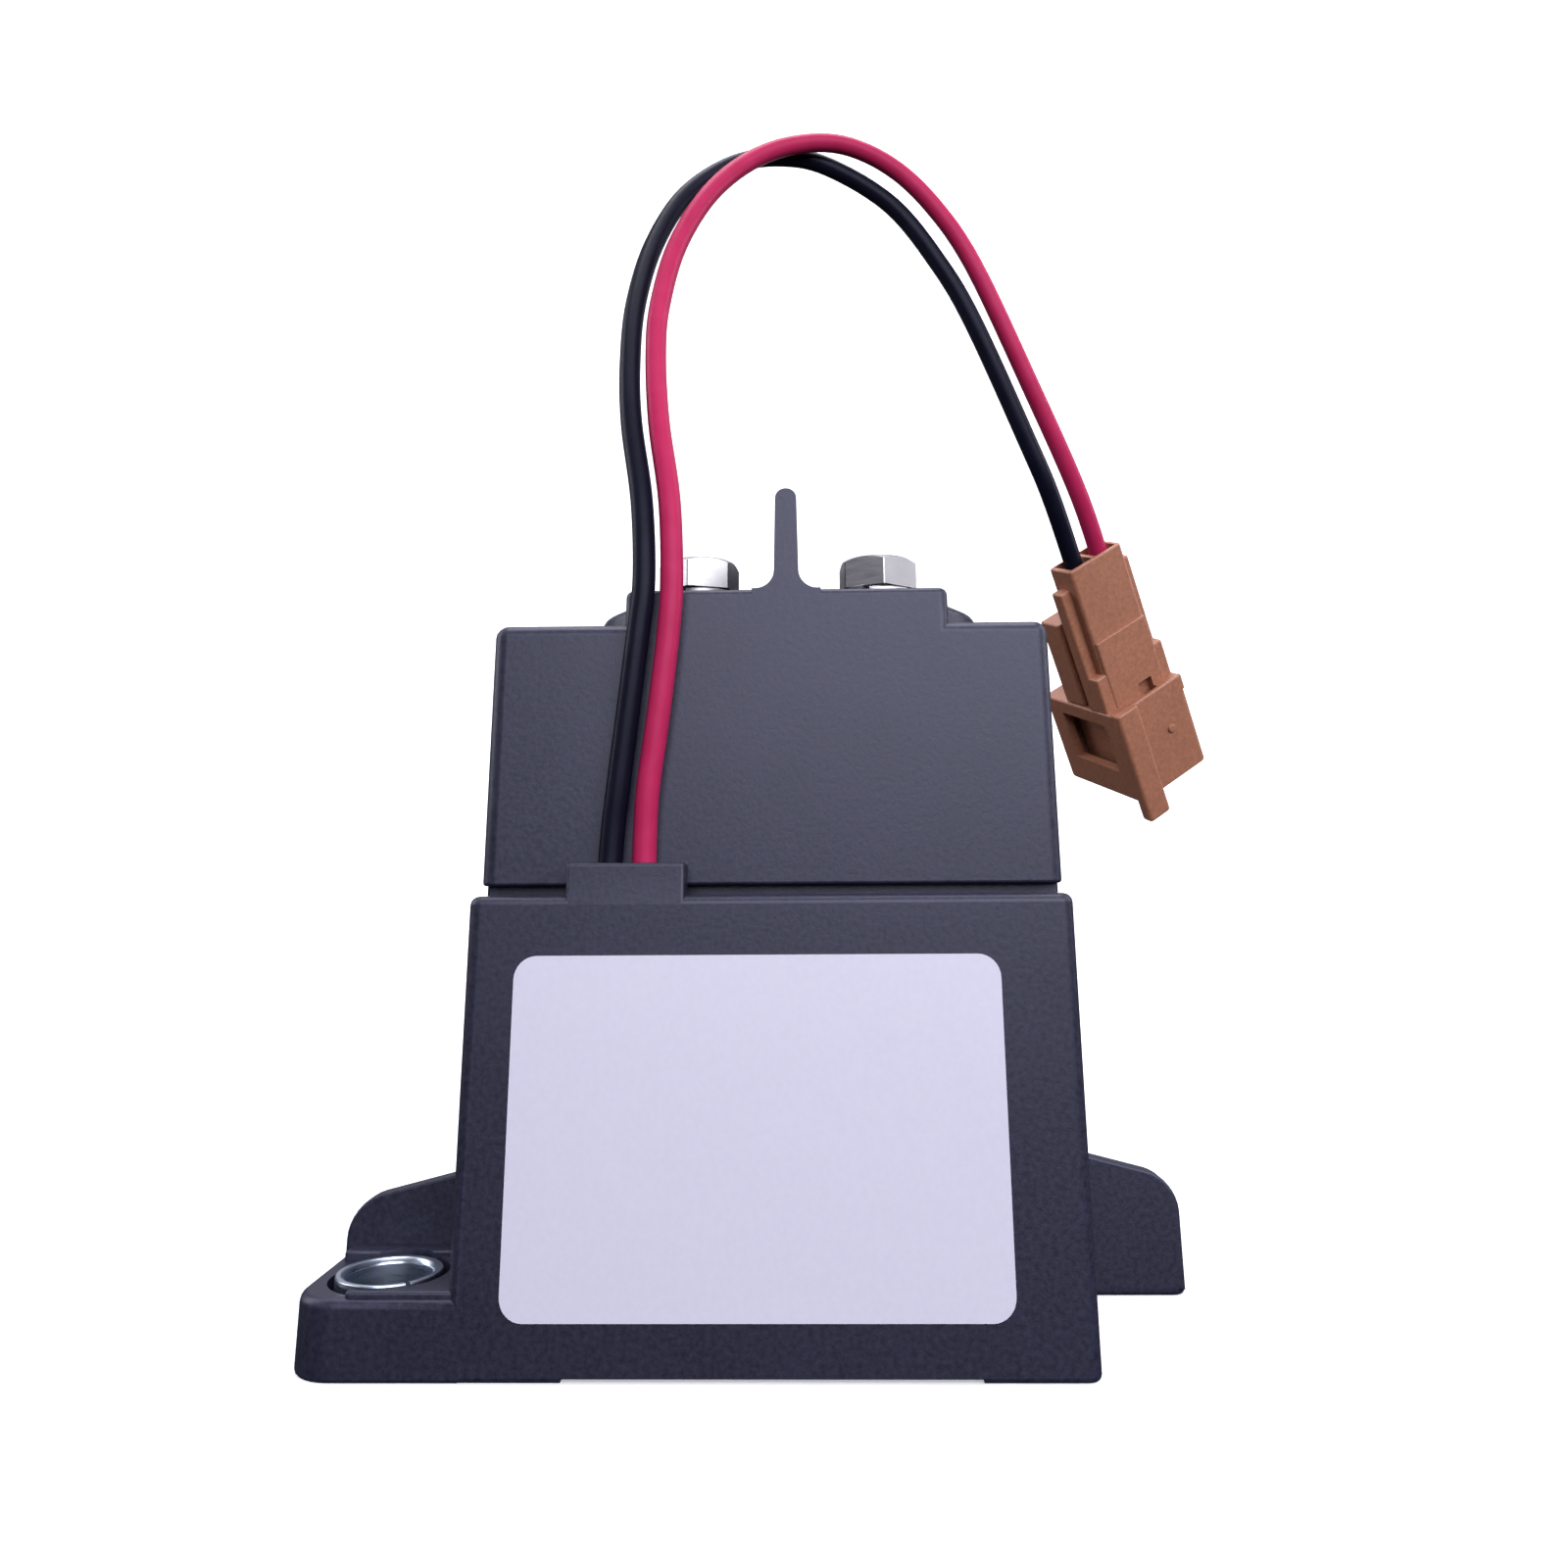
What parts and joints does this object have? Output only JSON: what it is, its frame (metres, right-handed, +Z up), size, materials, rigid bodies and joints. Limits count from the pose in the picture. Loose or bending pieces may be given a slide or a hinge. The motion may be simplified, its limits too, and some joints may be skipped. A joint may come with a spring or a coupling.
{
  "type": "high voltage dc contactor",
  "caption": "Sealed high voltage dc contactor on two offset mounting feet, with bolt terminals either side of a barrier, a bare label, and short coil leads ending in a plug.",
  "frame": {"origin": "middle of the two mounting holes on the mounting plane", "axes": "+Z up out of the mounting plane towards the terminals, +X along the feet, the label faces -Y"},
  "size_m": [0.0971, 0.0615, 0.1305],
  "materials": {
    "base_plastic": "fine matt texture",
    "cover_plastic": "fine matt texture",
    "label_film": "slight sheen",
    "zinc_steel": "zinc plated",
    "nickel_steel": "nickel plated",
    "copper": "plain",
    "alumina": "unglazed",
    "iron": "plain",
    "black_rubber": "matt",
    "bobbin_plastic": "matt",
    "winding": "enamelled wire",
    "magnet": "plain",
    "spring_steel": "plain",
    "red_insulation": "satin",
    "black_insulation": "satin",
    "brown_plastic": "satin",
    "tinned_brass": "tin plated"
  },
  "bodies": {
    "housing": {"base_housing": "base_plastic", "top_cover": "cover_plastic", "rating_label": "label_film", "mounting_bushings": "zinc_steel", "terminal_bolts": "nickel_steel", "spring_washers": "nickel_steel", "flat_washers": "nickel_steel", "fixed_contacts": "copper", "ceramic_chamber": "alumina", "seal_ring": "iron", "yoke_plate": "iron", "yoke_frame": "iron", "fixed_core": "iron", "guide_sleeve": "iron", "damper_pad": "black_rubber", "bobbin": "bobbin_plastic", "coil_winding": "winding", "coil_pins": "copper", "blowout_magnets": "magnet", "magnet_yoke": "iron", "return_spring": "spring_steel", "lead_grommet": "black_rubber", "lead_red": "red_insulation", "lead_black": "black_insulation", "plug_housing": "brown_plastic", "plug_retainer": "brown_plastic", "plug_contacts": "tinned_brass"},
    "armature": {"moving_core": "iron", "push_rod": "iron", "spring_seat": "iron", "contact_spring": "spring_steel", "retaining_clip": "spring_steel"},
    "bridge": {"contact_bridge": "copper"}
  },
  "joints": [
    {"name": "armature_slide", "type": "slide", "parent": "housing", "child": "armature", "axis": [0, 0, 1], "range_m": [0, 0.0024], "stiffness_N_per_m": 800, "springref_m": -0.003, "deforming": ["return_spring"]},
    {"name": "bridge_slide", "type": "slide", "parent": "armature", "child": "bridge", "axis": [0, 0, -1], "range_m": [0, 0.0006], "deforming": ["contact_spring"]}
  ],
  "couplings": [
    {"joint": "bridge_slide", "follows": "armature_slide", "ratio": 0.25}
  ]
}
